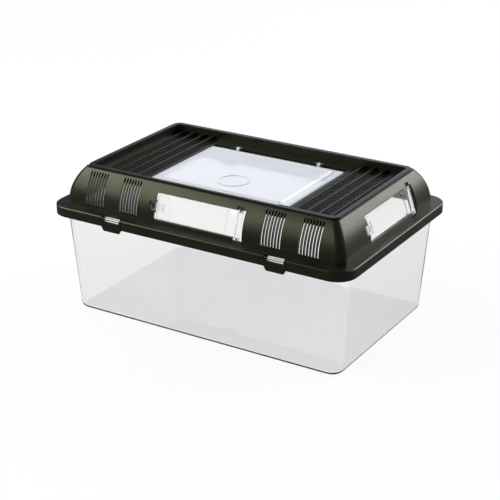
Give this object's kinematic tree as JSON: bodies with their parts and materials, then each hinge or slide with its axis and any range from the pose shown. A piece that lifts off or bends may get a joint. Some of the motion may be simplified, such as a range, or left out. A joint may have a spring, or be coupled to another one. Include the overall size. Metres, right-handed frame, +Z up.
{
  "type": "plastic pet keeper",
  "caption": "Clear tub for small pets under a black ventilated lid, with a lift-up top hatch, hinged feeding doors in the lid's walls and snap clips that swing over catches on the tub's rim.",
  "frame": {"origin": "middle of the tub's underside, on the surface that it stands on", "axes": "+X along the length, -Y towards the front with the wide feeding door, +Z up"},
  "size_m": [0.302, 0.1992, 0.137],
  "materials": {
    "clear_plastic": "clear, polished",
    "black_plastic": "satin black",
    "clear_hatch": "clear, polished",
    "clear_door": "clear, polished",
    "black_clip": "satin black"
  },
  "bodies": {
    "tub": {"tub": "clear_plastic"},
    "lid": {"lid": "black_plastic"},
    "top_hatch": {"top_hatch": "clear_hatch"},
    "front_door": {"front_door": "clear_door"},
    "right_door": {"right_door": "clear_door"},
    "left_door": {"left_door": "clear_door"},
    "clip_front_left": {"clip_front_left": "black_clip"},
    "clip_front_right": {"clip_front_right": "black_clip"},
    "clip_rear_left": {"clip_rear_left": "black_clip"},
    "clip_rear_right": {"clip_rear_right": "black_clip"}
  },
  "joints": [
    {"name": "lid_lift", "type": "slide", "parent": "tub", "child": "lid", "axis": [0, 0, 1], "range_m": [0, 0.12]},
    {"name": "top_hatch_hinge", "type": "hinge", "parent": "lid", "child": "top_hatch", "pos_m": [0, 0.05075, 0.1298], "axis": [-1, 0, 0], "range_deg": [0, 140]},
    {"name": "front_door_hinge", "type": "hinge", "parent": "lid", "child": "front_door", "pos_m": [0.03927, -0.08033, 0.11675], "axis": [0, 0.3202, 0.9473], "range_deg": [0, 90]},
    {"name": "right_door_hinge", "type": "hinge", "parent": "lid", "child": "right_door", "pos_m": [0.13513, 0.04587, 0.11675], "axis": [-0.3202, 0, 0.9473], "range_deg": [0, 90]},
    {"name": "left_door_hinge", "type": "hinge", "parent": "lid", "child": "left_door", "pos_m": [-0.13513, 0.04587, 0.11675], "axis": [-0.3202, 0, -0.9473], "range_deg": [0, 90]},
    {"name": "clip_front_left_hinge", "type": "hinge", "parent": "lid", "child": "clip_front_left", "pos_m": [-0.0812, -0.09785, 0.1015], "axis": [-1, 0, 0], "range_deg": [0, 60]},
    {"name": "clip_front_right_hinge", "type": "hinge", "parent": "lid", "child": "clip_front_right", "pos_m": [0.0848, -0.09785, 0.1015], "axis": [-1, 0, 0], "range_deg": [0, 60]},
    {"name": "clip_rear_left_hinge", "type": "hinge", "parent": "lid", "child": "clip_rear_left", "pos_m": [-0.0848, 0.09785, 0.1015], "axis": [1, 0, 0], "range_deg": [0, 60]},
    {"name": "clip_rear_right_hinge", "type": "hinge", "parent": "lid", "child": "clip_rear_right", "pos_m": [0.0812, 0.09785, 0.1015], "axis": [1, 0, 0], "range_deg": [0, 60]}
  ]
}
